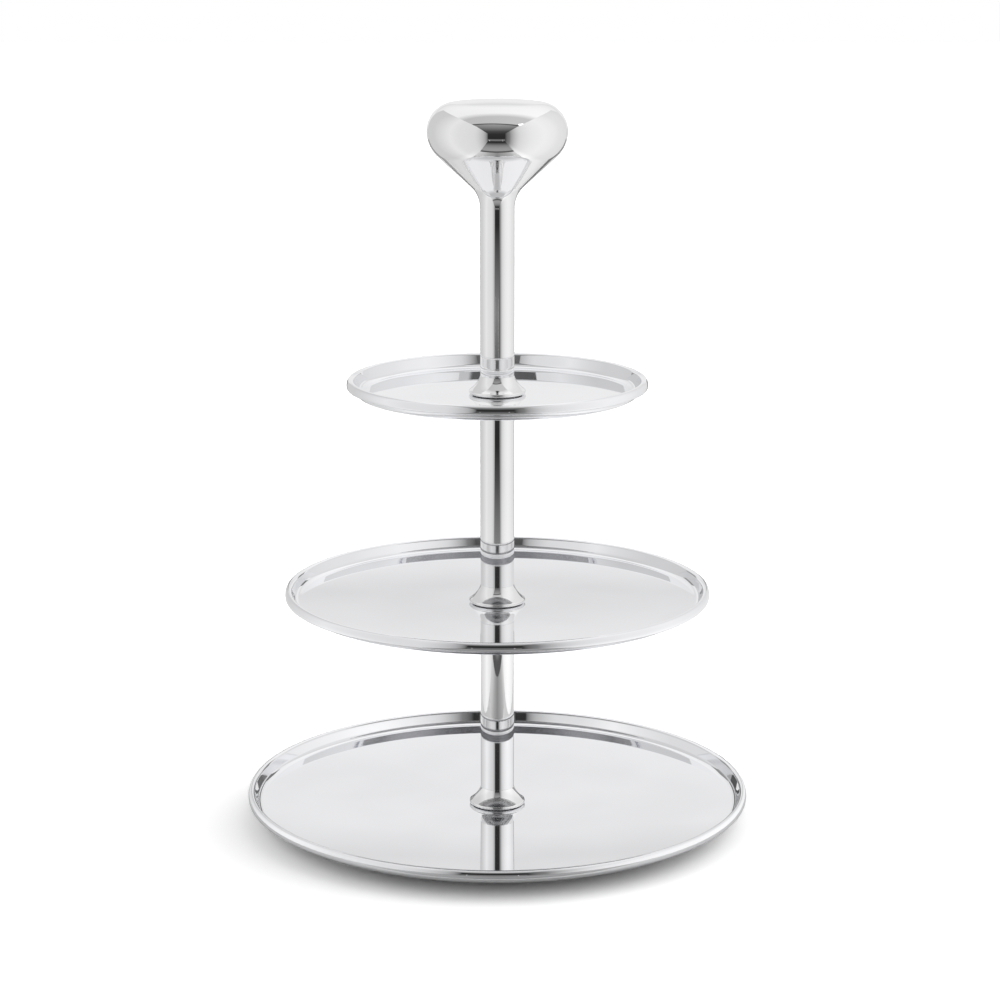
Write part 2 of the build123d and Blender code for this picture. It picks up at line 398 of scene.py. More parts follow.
# %% Press the trays
SHEET = 1.0 * MM
LAND_RADIUS = 18.0 * MM
DISH_RADIUS = 1.8
COVE_RADIUS = 3.4 * MM
WALL_ANGLE = 74.0
TRAY_HOLE_RADIUS = 4.4 * MM
ROLL_RADIUS = 1.8 * MM
FACE_RADIUS = 5.5 * MM
FACE_UP_ANGLE, FACE_DOWN_ANGLE = 22.0, 6.0
TUCK_RADIUS = 1.5 * MM
TUCK_ANGLE = 105.0
RIM_WIDTH = 9.0 * MM
LAND_POINT_RADIUS = 10.8 * MM
FLOOR_PARTS = 16


def shifted(point, reach, angle):
    """The point that lies `reach` away from another, at an angle in degrees above the horizontal."""
    return (point[0] + reach * cos(radians(angle)), point[1] + reach * sin(radians(angle)))


def tray_section(radius, rim_top, floor):
    """Section of a tray. The floor's arc ends where the cove can meet the wall under the rim."""
    wall = radians(WALL_ANGLE)
    face_span = FACE_RADIUS - ROLL_RADIUS
    face_z = rim_top - ROLL_RADIUS - face_span * sin(radians(FACE_UP_ANGLE))
    face = (radius - FACE_RADIUS, face_z)
    roll = shifted(face, face_span, FACE_UP_ANGLE)
    tuck = shifted(face, FACE_RADIUS - TUCK_RADIUS, -FACE_DOWN_ANGLE)
    wall_end = shifted(roll, ROLL_RADIUS, 90 + WALL_ANGLE)
    rise = DISH_RADIUS + floor - wall_end[1]
    reach = (wall_end[0] - LAND_RADIUS) * sin(wall) + rise * cos(wall) - COVE_RADIUS
    dish = WALL_ANGLE - degrees(acos(reach / (DISH_RADIUS - COVE_RADIUS)))
    bowl = (LAND_RADIUS, floor + DISH_RADIUS)
    cove = shifted(bowl, DISH_RADIUS - COVE_RADIUS, dish - 90)
    tuck_end = -FACE_DOWN_ANGLE - TUCK_ANGLE
    edge = shifted(tuck, TUCK_RADIUS - SHEET / 2, tuck_end)

    section = [(TRAY_HOLE_RADIUS, floor), (LAND_POINT_RADIUS, floor)]
    section += arc(bowl, DISH_RADIUS, -90, dish - 90, step=dish / FLOOR_PARTS)
    section += arc(cove, COVE_RADIUS, dish - 90, WALL_ANGLE - 90, step=3)
    section += arc(roll, ROLL_RADIUS, 90 + WALL_ANGLE, FACE_UP_ANGLE, step=5)
    section += arc(face, FACE_RADIUS, FACE_UP_ANGLE, -FACE_DOWN_ANGLE, step=2)
    section += arc(tuck, TUCK_RADIUS, -FACE_DOWN_ANGLE, tuck_end, step=7)
    section += arc(edge, SHEET / 2, tuck_end, tuck_end - 180, step=30)
    section += arc(tuck, TUCK_RADIUS - SHEET, tuck_end, -FACE_DOWN_ANGLE, step=15)
    section += arc(face, FACE_RADIUS - SHEET, -FACE_DOWN_ANGLE, FACE_UP_ANGLE, step=7)
    section += arc(roll, ROLL_RADIUS - SHEET, FACE_UP_ANGLE, 90 + WALL_ANGLE, step=12)
    section += arc(cove, COVE_RADIUS + SHEET, WALL_ANGLE - 90, dish - 90, step=3)
    section += arc(bowl, DISH_RADIUS + SHEET, dish - 90, -90, step=dish / FLOOR_PARTS)
    section += [(LAND_POINT_RADIUS, floor - SHEET), (TRAY_HOLE_RADIUS, floor - SHEET)]
    return section


tray_bodies = {"bottom_tray": "base", "middle_tray": "middle_tray", "top_tray": "top_tray"}
for tray_node, tray_body in tray_bodies.items():
    low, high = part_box(tray_node)
    tray = lathe(f"{tray_node}_pressed", tray_section(high[0], high[2], low[2] + SHEET))
    dress(tray, tray_body, [tray_node], tray_steel)
    tray.data.materials.append(satin_and_shaded_under_steel)
    # Faces that look down under the floor take the satin underside steel, darkened as painted shade.
    for face in tray.data.polygons:
        below_floor = hypot(face.center.x, face.center.y) < high[0] - RIM_WIDTH and face.normal.z < 0
        face.material_index = 1 if below_floor else 0

# %% [markdown]
# ## The feet
# A foot is turned from bar: a concave flare, a rounded lip, a groove for the seal underneath and a spigot
# that goes up into the tube. The tiny rounding where flare and tube meet is what draws the fine dark line
# in the photograph.

# %% Turn the feet
FOOT_START_ANGLE = 18.0
FOOT_LIP = 1.1 * MM
TUBE_WALL = 1.2 * MM
BOND_GAP = 0.02 * MM
STUD_RADIUS = 4.0 * MM
FOOT_SEAL_INNER = 9.5 * MM
SEAL_GROOVE_GAP = 0.3 * MM
LINE_ROUND = 0.12 * MM
FLARE_PARTS = 18


def flare_points(start, end, start_angle):
    """Arc that leaves `start` at start_angle from straight down and passes through `end`."""
    chord_r, chord_z = end[0] - start[0], end[1] - start[1]
    chord_angle = atan2(chord_r, -chord_z)
    turn = 2 * (chord_angle - radians(start_angle))
    radius = hypot(chord_r, chord_z) / (2 * sin(turn / 2))
    heading = radians(start_angle)
    centre = (start[0] + radius * cos(heading), start[1] + radius * sin(heading))
    points = []
    for i in range(FLARE_PARTS + 1):
        a = heading + turn * i / FLARE_PARTS
        points.append((centre[0] - radius * cos(a), centre[1] - radius * sin(a)))
    return points


def foot_section(node, seal_node, tube_radius, height):
    """Section of a foot: flare, lip, seal groove, bore and spigot, from the boxes of foot and seal."""
    low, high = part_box(node)
    seal_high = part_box(seal_node)[1]
    base, spigot_top = low[2], high[2]
    lip_r = high[0] - FOOT_LIP
    lip_top = (lip_r + FOOT_LIP * cos(pi / 4), base + FOOT_LIP + FOOT_LIP * sin(pi / 4))
    shoulder = (tube_radius - LINE_ROUND, base + height)
    flare_start = (tube_radius, base + height - LINE_ROUND)
    spigot_r = tube_radius - TUBE_WALL - BOND_GAP
    bore = STUD_RADIUS + BOND_GAP
    groove = (seal_high[0] + SEAL_GROOVE_GAP, seal_high[2])
    groove_inner = FOOT_SEAL_INNER - SEAL_GROOVE_GAP
    outline = [shoulder] + flare_points(flare_start, lip_top, FOOT_START_ANGLE)
    outline += arc((lip_r, base + FOOT_LIP), FOOT_LIP, 45, -90, step=6)
    outline += [(groove[0], base), groove, (groove_inner, groove[1]), (groove_inner, base)]
    outline += [(bore, base), (bore, spigot_top), (spigot_r, spigot_top), (spigot_r, base + height)]
    return outline


column_bodies = {"lower": "base", "middle": "middle_column", "handle": "handle"}
for column, body in column_bodies.items():
    tube_low, tube_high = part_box(f"{column}_tube")
    foot_height = tube_low[2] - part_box(f"{column}_foot")[0][2]
    section = foot_section(f"{column}_foot", f"{column}_foot_seal", tube_high[0], foot_height)
    foot = lathe(f"{column}_foot_turned", section)
    dress(foot, body, [f"{column}_foot"], column_steel)

# %% [markdown]
# ## The tubes
# Drawn tube, cut square, with the sharp edges broken. A plain cylinder would do for the shape, but the
# broken edges catch light, so the tube is spun from a section too.


# %% Cut the tubes
def tube_section(low, high, inner):
    """Section of a tube with both outer edges broken."""
    outer, bottom, top = high[0], low[2], high[2]
    return [
        (outer, bottom + LINE_ROUND),
        (outer, top - LINE_ROUND),
        (outer - LINE_ROUND, top),
        (inner, top),
        (inner, bottom),
        (outer - LINE_ROUND, bottom),
    ]


def handle_tube_section(low, high, inner):
    """The handle's tube ends flush against the knob's neck: the weld there is polished away."""
    outer, bottom, top = high[0], low[2], high[2]
    section = [(outer, bottom + LINE_ROUND), (outer, top), (inner, top)]
    return section + [(inner, bottom), (outer - LINE_ROUND, bottom)]


for column, body in column_bodies.items():
    low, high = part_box(f"{column}_tube")
    make_section = handle_tube_section if column == "handle" else tube_section
    tube = lathe(f"{column}_tube_drawn", make_section(low, high, high[0] - TUBE_WALL))
    dress(tube, body, [f"{column}_tube"], column_steel)

# %% [markdown]
# ## The knob
# Two pressed shells, welded at the widest line and polished until the weld is gone, so one spun piece
# stands for both. From the neck up: a concave neck, a cone, a full round and a low crown. The outer skin
# is spun first, and Solidify then gives it the wall of the sheet, inwards.

# %% Spin the knob
KNOB_CONE_ANGLE = 47.5
KNOB_LOWER_ROUND = 18.0 * MM
KNOB_UPPER_ROUND = 14.8 * MM
KNOB_UPPER_ANGLE = 83.0
NECK_ROUND = 15.0 * MM
KNOB_WALL = 1.2 * MM
KNOB_STEP, CROWN_STEP = 1.5, 0.5


def knob_skin(tube_radius, knob_radius, neck_bottom, equator):
    """The knob's outline, from the neck to the middle of the crown."""
    lower = (knob_radius - KNOB_LOWER_ROUND, equator)
    upper = (knob_radius - KNOB_UPPER_ROUND, equator)
    neck = (tube_radius + NECK_ROUND, neck_bottom)
    shoulder = shifted(upper, KNOB_UPPER_ROUND, KNOB_UPPER_ANGLE)
    crown_radius = shoulder[0] / cos(radians(KNOB_UPPER_ANGLE))
    crown = (0, shoulder[1] - crown_radius * sin(radians(KNOB_UPPER_ANGLE)))
    skin = arc(neck, NECK_ROUND, 180, 180 - KNOB_CONE_ANGLE, KNOB_STEP)
    skin += arc(lower, KNOB_LOWER_ROUND, -KNOB_CONE_ANGLE, 0, KNOB_STEP)
    skin += arc(upper, KNOB_UPPER_ROUND, 0, KNOB_UPPER_ANGLE, KNOB_STEP)
    skin += arc(crown, crown_radius, KNOB_UPPER_ANGLE, 90, CROWN_STEP)[:-1]
    return skin + [(0, crown[1] + crown_radius)]


bowl_low, bowl_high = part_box("knob_bowl")
neck_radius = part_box("handle_tube")[1][0]
knob = lathe("knob_shell", knob_skin(neck_radius, bowl_high[0], bowl_low[2], bowl_high[2]), closed=False)
bpy.ops.object.modifier_add(type="SOLIDIFY")
sheet_wall = knob.modifiers[-1]
sheet_wall.thickness = KNOB_WALL
sheet_wall.offset = -1
bpy.ops.object.modifier_apply(modifier=sheet_wall.name)
bpy.ops.object.shade_smooth_by_angle(angle=radians(SMOOTH_ANGLE))
dress(knob, "handle", ["knob_bowl", "knob_cap"], column_steel)

# %% [markdown]
# ## Seals and washer
# Flat silicone rings keep metal off metal: one in the groove of each foot, one under each upper tray and
# a washer under the screw. A mould never leaves a sharp edge, so all four edges of the section are round.

# %% Mould the rings
SEAL_ROUND = 0.25 * MM
TRAY_SEAL_INNER = 4.6 * MM
RING_STEPS = 128
SEAL_STEP = 15


def ring_section(node, inner):
    """Section of a flat ring with four rounded edges, from the box of its node."""
    low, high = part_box(node)
    near, far = inner + SEAL_ROUND, high[0] - SEAL_ROUND
    bottom, top = low[2] + SEAL_ROUND, high[2] - SEAL_ROUND
    section = arc((far, bottom), SEAL_ROUND, -90, 0, SEAL_STEP)
    section += arc((far, top), SEAL_ROUND, 0, 90, SEAL_STEP)
    section += arc((near, top), SEAL_ROUND, 90, 180, SEAL_STEP)
    section += arc((near, bottom), SEAL_ROUND, 180, 270, SEAL_STEP)
    return section


rings = {
    "lower_foot_seal": ("base", FOOT_SEAL_INNER),
    "middle_foot_seal": ("middle_seal", FOOT_SEAL_INNER),
    "handle_foot_seal": ("handle_seal", FOOT_SEAL_INNER),
    "middle_tray_seal": ("base", TRAY_SEAL_INNER),
    "top_tray_seal": ("middle_column", TRAY_SEAL_INNER),
    "base_washer": ("base", TRAY_SEAL_INNER),
}
for ring_node, (ring_body, ring_inner) in rings.items():
    ring = lathe(f"{ring_node}_moulded", ring_section(ring_node, ring_inner), steps=RING_STEPS)
    dress(ring, ring_body, [ring_node], seal_silicone)

# %% [markdown]
# ## Pads
# Four soft pads lift the bottom tray off the table. One pad is spun at the axis and pushed out to its
# circle. Its top is tipped to lie against the dished floor, and a spin with copies makes the other three.

# %% Mould the pads
PAD_RADIUS = 7.0 * MM
PAD_CIRCLE = 98.0 * MM
PAD_ROUND = 1.2 * MM
PAD_COUNT = 4
PAD_ANGLE = 45.0
PAD_STEPS = 64

pad_slope = asin((PAD_CIRCLE - LAND_RADIUS) / (DISH_RADIUS + SHEET))
pad_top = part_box("bottom_tray")[0][2] + (DISH_RADIUS + SHEET) * (1 - cos(pad_slope))
pad_outline = [(0, 0)] + arc((PAD_RADIUS - PAD_ROUND, PAD_ROUND), PAD_ROUND, -90, 0, step=9)
pad_outline += [(PAD_RADIUS, pad_top), (0, pad_top)]
pads = lathe("base_pads_moulded", pad_outline, closed=False, steps=PAD_STEPS)
bpy.ops.object.mode_set(mode="EDIT")
bpy.ops.mesh.select_all(action="SELECT")
bpy.ops.transform.translate(value=(PAD_CIRCLE, 0, 0))
pad_mesh = bmesh.from_edit_mesh(pads.data)
for vertex in pad_mesh.verts:
    vertex.select = vertex.co.z > pad_top / 2
pad_mesh.select_flush_mode()
bmesh.update_edit_mesh(pads.data)
bpy.ops.transform.rotate(value=pad_slope, orient_axis="Y", center_override=(PAD_CIRCLE, 0, pad_top))
bpy.ops.mesh.select_all(action="SELECT")
bpy.ops.transform.rotate(value=radians(PAD_ANGLE), orient_axis="Z", center_override=(0, 0, 0))
other_pads = PAD_COUNT - 1
bpy.ops.mesh.spin(
    steps=other_pads, dupli=True, angle=2 * pi * other_pads / PAD_COUNT, center=(0, 0, 0), axis=(0, 0, 1)
)
bpy.ops.object.mode_set(mode="OBJECT")
dress(pads, "base", ["base_pads"], pad_silicone)
highest = max((v.co.z, hypot(v.co.x, v.co.y)) for v in pads.data.vertices)
print("highest point of a pad is at radius", highest[1])

# %% [markdown]
# ## Studs and screw
# The columns screw together on studs with an M8 thread. One pitch of the thread's outline is wound up by
# a Screw modifier and cut to length. A turned blank with chamfered ends is then kept only where the two
# overlap, which gives the crests their flats, as on a real rod.

# %% Cut the threads
THREAD_PITCH = 1.25 * MM
THREAD_DEPTH = 0.65 * MM
CREST_SPARE = 0.03 * MM
STUD_CHAMFER = 1.0 * MM
THREAD_STEPS = 48
ROOT_END, CREST_START, CREST_END = 0.25, 0.56, 0.69
LEAD_IN, SPARE_TURNS = 1.5, 3


def combine(piece, operation, other):
    """Applies a Boolean with another piece, which is used up."""
    bpy.ops.object.select_all(action="DESELECT")
    piece.select_set(True)
    bpy.context.view_layer.objects.active = piece
    bpy.ops.object.modifier_add(type="BOOLEAN")
    joint = piece.modifiers[-1]
    joint.operation = operation
    joint.object = other
    bpy.ops.object.modifier_apply(modifier=joint.name)
    bpy.data.objects.remove(other)
    bpy.ops.object.shade_smooth_by_angle(angle=radians(SMOOTH_ANGLE))


def wind_thread(name, bottom, top):
    """A threaded rod, cut square at both ends. The outline's heights are shares of one pitch."""
    root = STUD_RADIUS - THREAD_DEPTH
    crest = STUD_RADIUS + CREST_SPARE
    start = bottom - LEAD_IN * THREAD_PITCH
    one_pitch = [(root, 0), (root, ROOT_END), (crest, CREST_START), (crest, CREST_END), (root, 1)]
    rod = draw_section(name, [(r, start + share * THREAD_PITCH) for r, share in one_pitch])
    bpy.ops.object.mode_set(mode="OBJECT")
    bpy.ops.object.modifier_add(type="SCREW")
    winding = rod.modifiers[-1]
    winding.screw_offset = THREAD_PITCH
    winding.iterations = ceil((top - bottom) / THREAD_PITCH) + SPARE_TURNS
    winding.steps = winding.render_steps = THREAD_STEPS
    bpy.ops.object.modifier_apply(modifier=winding.name)
    bpy.ops.object.mode_set(mode="EDIT")
    bpy.ops.mesh.select_all(action="SELECT")
    bpy.ops.mesh.remove_doubles(threshold=SAME_POINT)
    for height, ends in {bottom: {"clear_inner": True}, top: {"clear_outer": True}}.items():
        bpy.ops.mesh.select_all(action="SELECT")
        bpy.ops.mesh.bisect(plane_co=(0, 0, height), plane_no=(0, 0, 1), use_fill=True, **ends)
    bpy.ops.mesh.select_all(action="SELECT")
    bpy.ops.mesh.normals_make_consistent(inside=False)
    bpy.ops.object.mode_set(mode="OBJECT")
    return rod


def cut_stud(name, bottom, top):
    """A threaded rod with chamfered ends and flat crests."""
    rod = wind_thread(name, bottom, top)
    chamfer_r = STUD_RADIUS - STUD_CHAMFER
    below, above = bottom - CREST_SPARE, top + CREST_SPARE
    outline = [(0, below), (chamfer_r, below), (STUD_RADIUS, bottom + STUD_CHAMFER)]
    outline += [(STUD_RADIUS, top - STUD_CHAMFER), (chamfer_r, above), (0, above)]
    combine(rod, "INTERSECT", lathe(f"{name}_blank", outline, closed=False, steps=RING_STEPS))
    return rod


for column in ("middle", "handle"):
    low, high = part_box(f"{column}_stud")
    stud = cut_stud(f"{column}_stud_threaded", low[2], high[2])
    dress(stud, column_bodies[column], [f"{column}_stud"], turned_steel)

# %% [markdown]
# ## Base screw
# A low round head under the bottom tray, with a hexagon socket for a key. The head is spun, the socket is
# cut with a six-sided cutter, and the threaded shank is joined on.

# %% Make the screw
HEAD_HEIGHT = 2.4 * MM
HEAD_ROUND = 1.6 * MM
SOCKET_ACROSS = 5.0 * MM
SOCKET_DEPTH = 1.6 * MM
SHANK_OVERLAP = 0.2 * MM
SOCKET_SIDES = 6

low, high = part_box("base_screw")
head_bottom, head_top = low[2], low[2] + HEAD_HEIGHT
head_outline = [(0, head_bottom)]
head_outline += arc((high[0] - HEAD_ROUND, head_bottom + HEAD_ROUND), HEAD_ROUND, -90, 0, step=7)
head_outline += [(high[0], head_top), (0, head_top)]
base_screw = lathe("base_screw_made", head_outline, closed=False, steps=RING_STEPS)
bpy.ops.object.select_all(action="DESELECT")
bpy.ops.mesh.primitive_cylinder_add(
    vertices=SOCKET_SIDES,
    radius=SOCKET_ACROSS / 2 / cos(pi / SOCKET_SIDES),
    depth=2 * SOCKET_DEPTH,
    location=(0, 0, head_bottom),
)
combine(base_screw, "DIFFERENCE", bpy.context.object)
combine(base_screw, "UNION", cut_stud("base_screw_shank", head_top - SHANK_OVERLAP, high[2]))
dress(base_screw, "base", ["base_screw"], turned_steel)

# %% [markdown]
# ## What stays as it is
# The plugs and the sleeve are plain turned rings inside the tubes. Their shape is already right, so they
# only get the turned finish.

# %% Finish the inner rings
for inner_node in ("lower_plug", "middle_plug", "neck_sleeve"):
    for material_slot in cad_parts[inner_node].material_slots:
        material_slot.material = turned_steel
    print("turned finish on", inner_node)

# %% [markdown]
# ## The studio
# A mirror shows the room, so the room is modelled as carefully as the steel. The stand is on a white
# table in a bright tent. Two white flats stand left and right of the camera's line of sight. Between
# them a corridor leads from the table's front edge back to a dark room, and that corridor is the dark
# stripe on every column. Only mirror rays meet the cards; the picture's own background is plain white.
# The tent itself is the world's colour, worked out from the direction of a ray.

# %% Tent helpers
ROOM_LEVEL = 0.8

world = bpy.data.worlds.new("tent")
bpy.context.scene.world = world
world.use_nodes = True
tent = Shading(world.node_tree)


def sine(angle):
    return sin(radians(angle))


def math_node(operation, first, second=0.0):
    """One Math node of the tent, for what the operators of a wire don't cover."""
    return tent.node("ShaderNodeMath", {"operation": operation}, {0: first, 1: second})


def between(value, low, high, soft_edge):
    """1 between low and high, 0 outside, eased over a soft edge at both ends."""
    begun = tent.smooth_step(value, low - soft_edge, low + soft_edge)
    return begun * (1 - tent.smooth_step(value, high - soft_edge, high + soft_edge))


def within(angle, half_width, soft_edge):
    """1 up to half_width degrees, 0 past it, eased over a soft edge."""
    return 1 - tent.smooth_step(angle, radians(half_width - soft_edge), radians(half_width + soft_edge))


def height_ramp(height, stops):
    """A level that follows (degrees above the horizon, level) stops."""
    places = [(sine(angle), level) for angle, level in stops]
    return tent.node("ShaderNodeValToRGB", {"stops": places}, {"Fac": height})


ray_x, ray_y, ray_z = tent.xyz(tent.node("ShaderNodeTexCoord", None, None, "Generated"))
up = math_node("MAXIMUM", ray_z)
off_axis = math_node("ABSOLUTE", math_node("ARCTAN2", ray_x, ray_y * -1.0))
print("tent ready")

# %% [markdown]
# ## What the polish mirrors
# The tent's cloth is whitest at the back, fades towards the front, and has one grey fold about sixteen
# degrees up. In front, over the corridor, the ceiling is dark and gets paler with height. It ends at a
# darker beam, highest straight ahead and lower to both sides, which the knob shows as a fine dark line.

# %% Paint the mirrored room
CLOTH_BESIDE, CLOTH_SLOPE = 0.82, 1.4
CLOTH_DULLEST, CLOTH_BRIGHTEST = 0.63, 1.06
CLOTH_RIGHT = 0.1
FOLD_STOPS = [(0, 1.03), (11, 1.04), (14, 0.95), (16, 0.89), (18, 1.01), (21, 1.02), (30, 1.1), (45, 1.16)]
FRONT_HALF_WIDTH, FRONT_EDGE = 68.0, 8.0
CEILING_STOPS = [(0, 0.05), (10, 0.05), (18, 0.08), (26, 0.19), (34, 0.3), (42, 0.38), (48, 0.5), (60, 0.5)]
BEAM_RISE, BEAM_TILT = 1.2, 0.12
BEAM_BOTTOM, BEAM_TOP, BEAM_EDGE = -0.11, 0.02, 0.015
CEILING_FADE = -0.01
BEAM_LEVEL = 0.3

cloth = math_node("MINIMUM", CLOTH_BESIDE + ray_y * CLOTH_SLOPE, CLOTH_BRIGHTEST)
cloth = math_node("MAXIMUM", cloth, CLOTH_DULLEST)
cloth = cloth * height_ramp(up, FOLD_STOPS) * (1 + ray_x * up * CLOTH_RIGHT)
beam = up + ray_y * BEAM_RISE + ray_x * BEAM_TILT
front = within(off_axis, FRONT_HALF_WIDTH, FRONT_EDGE) * (1 - tent.smooth_step(beam, CEILING_FADE, BEAM_TOP))
beam_shade = between(beam, BEAM_BOTTOM, BEAM_TOP, BEAM_EDGE) * (1 - BEAM_LEVEL)
ceiling = height_ramp(up, CEILING_STOPS) * (1 - beam_shade)
mirrored = (cloth * (1 - front) + ceiling * front) * ROOM_LEVEL
print("mirrored room painted")

# %% [markdown]
# ## What lights the table
# The table's light comes mostly from both sides, with a little more from the right and from behind, and
# the dark corridor sends it less. That shapes the soft shadow round the bottom tray. It is kept apart from
# the room that the polish mirrors, so each can be set alone. The camera sees a plain white instead.

# %% Light the table
SIDE_LIGHT, END_LIGHT = 3.5, 1.5
RIGHT_LIGHT, BACK_RIGHT_LIGHT, HIGH_BACK_LIGHT = 0.5, 0.85, 0.85
CORRIDOR_SHADE = 0.65
SHADE_HALF_WIDTH, SHADE_EDGE = 48.0, 12.0
SHADE_FULL_BELOW, SHADE_NONE_ABOVE = 12.0, 35.0

soft = ray_x * ray_x * SIDE_LIGHT + ray_y * ray_y * END_LIGHT
soft = soft + ray_x * (RIGHT_LIGHT + ray_y * BACK_RIGHT_LIGHT) + up * ray_y * HIGH_BACK_LIGHT
low_down = 1 - tent.smooth_step(up, sine(SHADE_FULL_BELOW), sine(SHADE_NONE_ABOVE))
shaded = within(off_axis, SHADE_HALF_WIDTH, SHADE_EDGE) * low_down
soft = math_node("MAXIMUM", soft) * (1 - shaded * CORRIDOR_SHADE)
to_camera = tent.node("ShaderNodeLightPath", None, None, "Is Camera Ray")
to_table = tent.node("ShaderNodeLightPath", None, None, "Is Diffuse Ray")
level = to_camera + (1 - to_camera) * (soft * to_table + mirrored * (1 - to_table))
sky = tent.node("ShaderNodeBackground", None, {"Color": (1, 1, 1, 1), "Strength": level})
tent.node("ShaderNodeOutputWorld", None, {"Surface": sky})
print("tent lit")

# %% [markdown]
# ## The table
# A white sheet that keeps the shadow. Light that has already been scattered once meets a greyer sheet:
# that keeps the shadow under the tray deep, as it is in the photograph, and changes nothing in the open.
# To the camera the open sheet is as white as the background. That would be too white in the polish, so
# mirror rays meet a greyer one.

# %% Lay the table
TABLE_SIZE = 14.0
SCATTERED_WHITE = 0.45
SEEN_WHITE = 1.3
MIRRORED_WHITE = 0.65

bpy.ops.object.select_all(action="DESELECT")
bpy.ops.mesh.primitive_plane_add(size=TABLE_SIZE, location=(0, 0, 0))
table = bpy.context.object
table.name = "table"
sheet_finish, cover = new_finish("table_sheet")
scattered = cover.node("ShaderNodeLightPath", None, None, "Diffuse Depth")
seen = cover.node("ShaderNodeLightPath", None, None, "Is Camera Ray")
first_look = cover.node("ShaderNodeMath", {"operation": "LESS_THAN"}, {0: scattered, 1: 1.0})
mirror = cover.node("ShaderNodeLightPath", None, None, "Is Glossy Ray")
sheet_level = SCATTERED_WHITE + first_look * (1 - SCATTERED_WHITE) + seen * (SEEN_WHITE - 1)
sheet_level = sheet_level * (1 - mirror * (1 - MIRRORED_WHITE))
white = cover.node("ShaderNodeBsdfDiffuse", None, {"Color": sheet_level})
cover.node("ShaderNodeOutputMaterial", None, {"Surface": white})
table.data.materials.append(sheet_finish)
print("table laid")

# %% [markdown]
# ## Cards
# Everything else in the studio is a flat card with four corners. A card glows with a level that changes
# along one direction, like a white flat that is lit from one end. Only mirror rays see the cards, so they
# change the polish and neither light the table nor cast a shadow.

# %% Card helpers
CORRIDOR_END = -1.20
BOUNCE_FULL_BELOW, BOUNCE_NONE_ABOVE = 0.04, 0.13
BOUNCE_FADE = 0.2
FLOAT = 0.4 * MM
ALONG_X, ALONG_Y, ALONG_Z = 0, 1, 2


def glow_finish(name, axis, stops, table_bounce=0.0, bounce_from=CORRIDOR_END):
    """Emission whose level follows (place, level) stops along one axis of the frame.

    Close to the white table a card is brighter by table_bounce, all of it a little behind bounce_from.
    """
    finish, shading = new_finish(name)
    places = shading.xyz(shading.node("ShaderNodeTexCoord", None, None, "Object"))
    low, high = stops[0][0], stops[-1][0]
    shares = [((stop - low) / (high - low), level) for stop, level in stops]
    share = (places[axis] - low) / (high - low)
    level = shading.node("ShaderNodeValToRGB", {"stops": shares}, {"Fac": share})
    if table_bounce:
        near_table = 1 - shading.smooth_step(places[ALONG_Z], BOUNCE_FULL_BELOW, BOUNCE_NONE_ABOVE)
        behind = shading.smooth_step(places[ALONG_Y], bounce_from, bounce_from + BOUNCE_FADE)
        level = level * (1 + near_table * behind * table_bounce)
    glow = shading.node("ShaderNodeEmission", None, {"Color": level, "Strength": ROOM_LEVEL})
    shading.node("ShaderNodeOutputMaterial", None, {"Surface": glow})
    return finish


def card(name, corners, finish):
    """A four-cornered card that only mirror rays can see."""
    bpy.ops.object.select_all(action="DESELECT")
    bpy.ops.mesh.primitive_plane_add(size=1)
    made = bpy.context.object
    made.name = name
    for vertex, corner in zip(made.data.vertices, (corners[0], corners[1], corners[3], corners[2])):
        vertex.co = corner
    made.data.materials.append(finish)
    made.visible_camera = False
    made.visible_diffuse = False
    made.visible_transmission = False
    made.visible_shadow = False
    print("card:", name)


def upright(near, far, bottom, top):
    """The corners of an upright card over the line between two places."""
    return [(*near, bottom), (*far, bottom), (*far, top), (*near, top)]


def lying(*places):
    """The corners of a card that lies just above the table."""
    return [(*place, FLOAT) for place in places]


print("cards ready")

# %% [markdown]
# ## The flats and the corridor
# The flats run from the dark room past the stand to the back, brightest beside the stand. The corridor's
# floor is darkest at the table's edge, a painted shadow of that edge, and at its far end, and the dark room
# behind it has one paler band low down. Two thin slits of light stand at that far end. The table's apron,
# just in front of the stand, is greyest in the middle: painted shade of the bottom tray on the table.

# %% Stand the flats
TABLE_EDGE = -0.27
FLAT_BACK = 0.33
FLAT_HEIGHT = 0.57
NEAR_LEFT, FAR_LEFT = -0.190, -0.32
NEAR_RIGHT, FAR_RIGHT = 0.187, 0.26
APRON_BACK = -0.145
TABLE_BOUNCE = 0.15
LEFT_BOUNCE_FROM = -0.26
SLIT_WIDTH, SLIT_HEIGHT = 0.007, 0.10
SLIT_LEVEL = 1.3
SLIT_Y = CORRIDOR_END + 0.01
SLIT_PLACES = {"left_slit": -0.265, "right_slit": 0.175}

left_glow = glow_finish(
    "left_glow",
    ALONG_Y,
    [(CORRIDOR_END, 0.1), (-0.745, 0.5), (-0.437, 0.76), (TABLE_EDGE, 0.94), (-0.106, 1.0), (-0.045, 1.08),
     (0.017, 0.95), (0.097, 0.83), (FLAT_BACK, 0.8)],
    TABLE_BOUNCE,
    LEFT_BOUNCE_FROM,
)
right_glow = glow_finish(
    "right_glow",
    ALONG_Y,
    [(CORRIDOR_END, 0.04), (-0.62, 0.27), (-0.405, 0.64), (TABLE_EDGE, 0.92), (-0.133, 1.11), (-0.05, 1.18),
     (0.017, 1.13), (0.08, 1.04), (FLAT_BACK, 0.93)],
    TABLE_BOUNCE,
)
end_glow = glow_finish(
    "end_glow",
    ALONG_Z,
    [(0, 0.15), (0.04, 0.17), (0.085, 0.29), (0.115, 0.19), (0.17, 0.03), (FLAT_HEIGHT, 0.04)],
)
# The corridor floor's dip to 0.12 next to the table's edge is a painted shadow of that edge.
floor_glow = glow_finish(
    "floor_glow",
    ALONG_Y,
    [(CORRIDOR_END, 0.03), (-0.98, 0.03), (-0.82, 0.1), (-0.62, 0.28), (-0.45, 0.4), (-0.34, 0.44),
     (-0.305, 0.12)],
)
